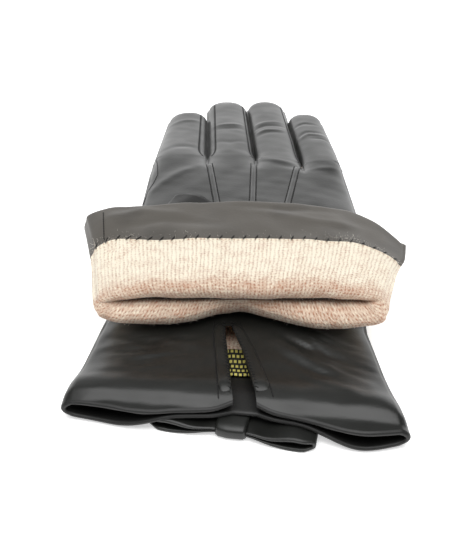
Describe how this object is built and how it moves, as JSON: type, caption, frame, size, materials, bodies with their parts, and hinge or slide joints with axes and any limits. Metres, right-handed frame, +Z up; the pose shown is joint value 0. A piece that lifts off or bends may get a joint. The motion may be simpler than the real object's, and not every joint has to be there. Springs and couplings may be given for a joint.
{
  "type": "pair of lined leather dress gloves",
  "caption": "Pair of knit-lined leather dress gloves stacked palm to palm, the upper one with its cuff turned back to show the lining, each with a vent and a flat leather bow at the cuff.",
  "frame": {"origin": "on the table, under the middle of the pair's outline", "axes": "+Y from the cuffs towards the fingertips, +X to the little-finger side, +Z up from the table"},
  "size_m": [0.1209, 0.252, 0.0309],
  "materials": {
    "nappa_leather": "smooth black nappa leather with a soft sheen",
    "facing_leather": "thin matt black facing leather, creased",
    "knit_lining": "brushed beige wool-cashmere jersey with stray fibres",
    "thread": "black sewing thread",
    "label": "black woven tape with plain gold dashes"
  },
  "bodies": {
    "lower_glove": {"lower_trank": "nappa_leather", "lower_index_leather": "nappa_leather", "lower_middle_leather": "nappa_leather", "lower_ring_leather": "nappa_leather", "lower_little_leather": "nappa_leather", "lower_fourchettes": "nappa_leather", "lower_lining": "knit_lining", "lower_facing": "facing_leather", "lower_facing_stitches": "thread", "lower_vent_binding": "nappa_leather", "lower_label": "label", "lower_points": "nappa_leather", "lower_bow_loops": "nappa_leather", "lower_bow_knot": "nappa_leather"},
    "lower_thumb": {"lower_thumb_leather": "nappa_leather", "lower_thumb_lining": "knit_lining"},
    "upper_glove": {"upper_trank": "nappa_leather", "upper_hand_lining": "knit_lining", "upper_cuff_roll": "knit_lining", "upper_cuff_under_leather": "nappa_leather", "upper_facing_under": "facing_leather", "upper_vent_binding": "nappa_leather", "upper_points": "nappa_leather"},
    "upper_thumb": {"upper_thumb_leather": "nappa_leather", "upper_thumb_lining": "knit_lining"},
    "upper_index": {"upper_index_leather": "nappa_leather", "upper_index_fourchette": "nappa_leather", "upper_index_lining": "knit_lining"},
    "upper_middle": {"upper_middle_leather": "nappa_leather", "upper_middle_fourchettes": "nappa_leather", "upper_middle_lining": "knit_lining"},
    "upper_ring": {"upper_ring_leather": "nappa_leather", "upper_ring_fourchettes": "nappa_leather", "upper_ring_lining": "knit_lining"},
    "upper_little": {"upper_little_leather": "nappa_leather", "upper_little_fourchette": "nappa_leather", "upper_little_lining": "knit_lining"},
    "turned_cuff": {"upper_cuff_back_leather": "nappa_leather", "upper_lining_band": "knit_lining", "upper_facing_band": "facing_leather", "upper_facing_stitches": "thread", "upper_bow_loops": "nappa_leather", "upper_bow_knot": "nappa_leather"}
  },
  "joints": [
    {"name": "upper_glove_lift", "type": "slide", "parent": "lower_glove", "child": "upper_glove", "axis": [0, 0, 1], "range_m": [0, 0.12]},
    {"name": "cuff_turnback_lift", "type": "hinge", "parent": "upper_glove", "child": "turned_cuff", "pos_m": [0, -0.07104, 0.0274], "axis": [1, 0, 0], "range_deg": [0, 20]},
    {"name": "lower_thumb_swing", "type": "hinge", "parent": "lower_glove", "child": "lower_thumb", "pos_m": [-0.0265, -0.00634, 0.0076], "axis": [0, 0, 1], "range_deg": [0, 40]},
    {"name": "upper_thumb_swing", "type": "hinge", "parent": "upper_glove", "child": "upper_thumb", "pos_m": [-0.0265, -0.00634, 0.0115], "axis": [0, 0, 1], "range_deg": [0, 40]},
    {"name": "upper_index_bend", "type": "hinge", "parent": "upper_glove", "child": "upper_index", "pos_m": [-0.02975, 0.03996, 0.0248], "axis": [1, 0, 0], "range_deg": [0, 50]},
    {"name": "upper_middle_bend", "type": "hinge", "parent": "upper_glove", "child": "upper_middle", "pos_m": [-0.00695, 0.03996, 0.0248], "axis": [1, 0, 0], "range_deg": [0, 50]},
    {"name": "upper_ring_bend", "type": "hinge", "parent": "upper_glove", "child": "upper_ring", "pos_m": [0.01485, 0.03996, 0.0248], "axis": [1, 0, 0], "range_deg": [0, 50]},
    {"name": "upper_little_bend", "type": "hinge", "parent": "upper_glove", "child": "upper_little", "pos_m": [0.03515, 0.03996, 0.0248], "axis": [1, 0, 0], "range_deg": [0, 50]}
  ]
}
